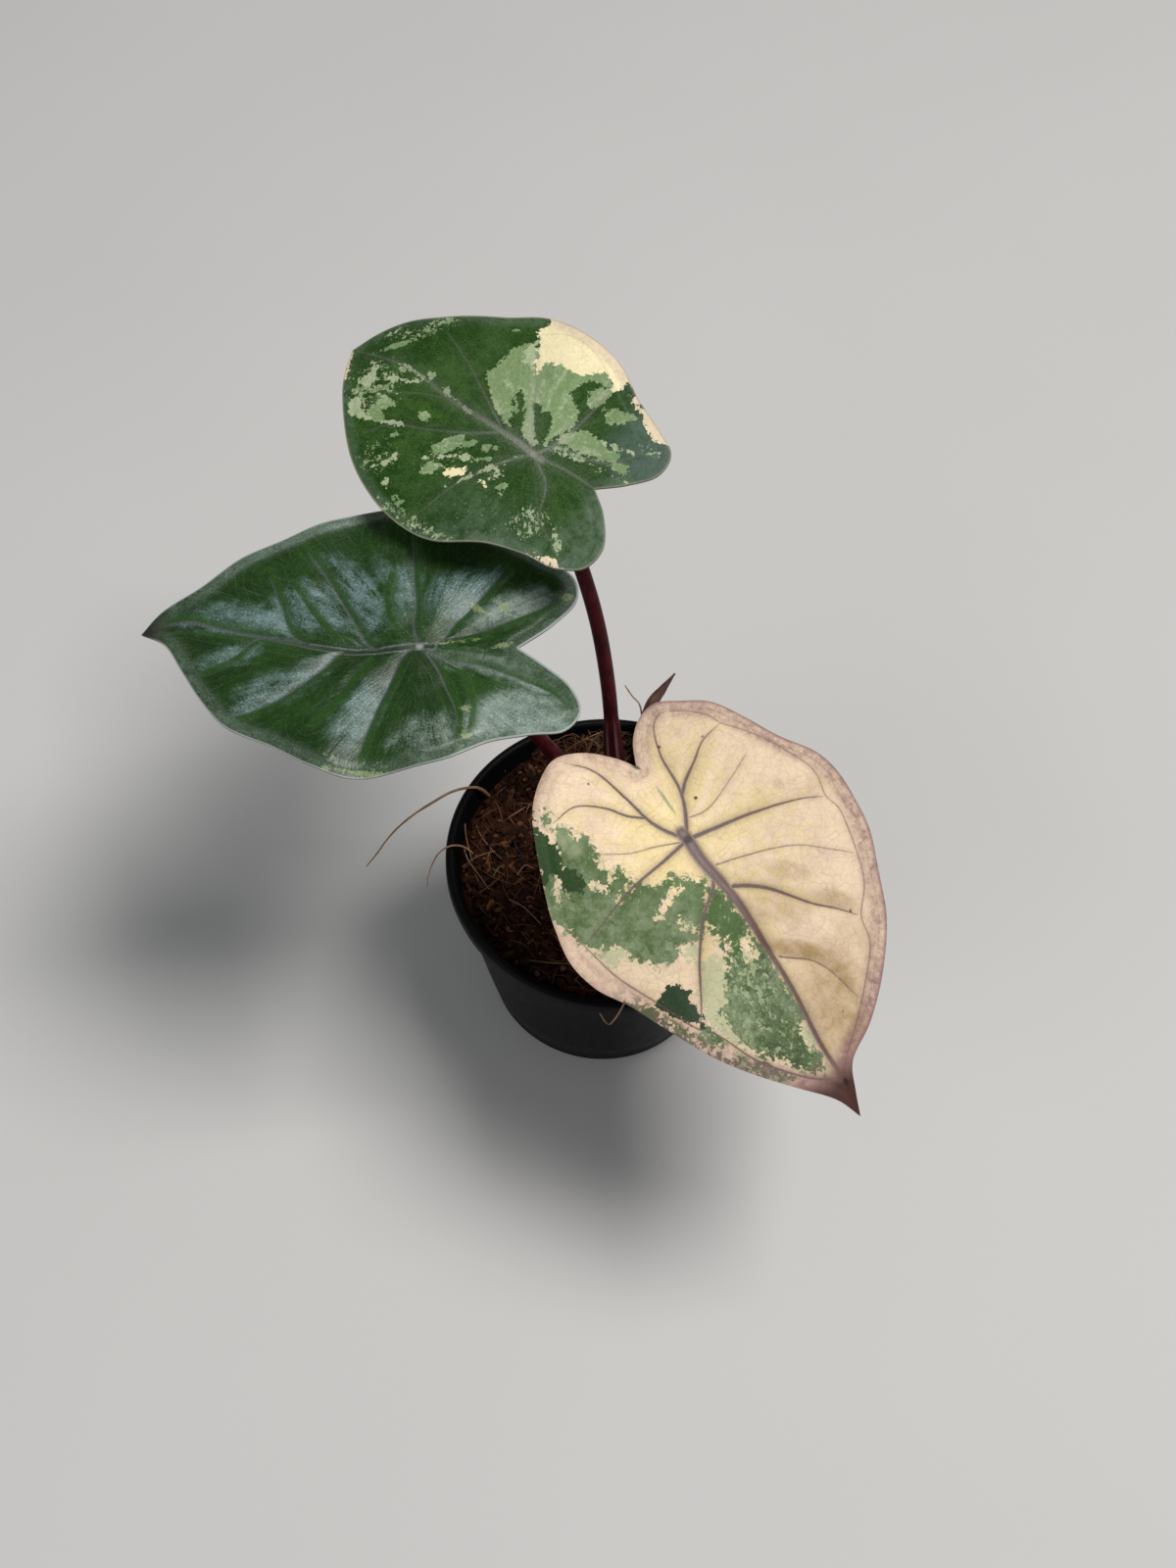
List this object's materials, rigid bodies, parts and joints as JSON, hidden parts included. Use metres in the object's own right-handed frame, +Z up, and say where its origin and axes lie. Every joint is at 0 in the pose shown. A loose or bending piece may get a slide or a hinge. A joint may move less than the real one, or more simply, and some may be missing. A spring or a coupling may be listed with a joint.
{
  "type": "potted pink yucatan princess alocasia",
  "caption": "Young variegated aroid house plant with broad heart-shaped leaves on dark stalks, standing in soil in a small plastic nursery pot.",
  "frame": {"origin": "centre of the pot's underside, on the surface that the pot stands on", "axes": "+Z up; -Y towards the viewer of the reference picture; +X to that viewer's right"},
  "size_m": [0.1884, 0.178, 0.1681],
  "materials": {
    "pot": "satin black injection moulded plastic",
    "soil": "damp coir chips, bark and fibre",
    "crown": "dull brown stem base with old scales",
    "stalk": "dark maroon, mottled, slightly glossy",
    "blade_back": "waxy green with cream and light green blocks",
    "blade_left": "waxy dark green with a silvery sheen",
    "blade_front": "satin pink and cream with green patches and dusky veins",
    "dry_sheath": "dry papery brown",
    "root": "dull tan"
  },
  "bodies": {
    "root": {"pot": "pot", "soil": "soil", "crown": "crown", "stalk_back": "stalk", "stalk_left": "stalk", "stalk_front": "stalk", "blade_back": "blade_back", "blade_left": "blade_left", "blade_front": "blade_front", "dry_sheath": "dry_sheath", "root_long": "root", "root_short": "root", "root_front": "root", "root_rear": "root"}
  },
  "joints": []
}
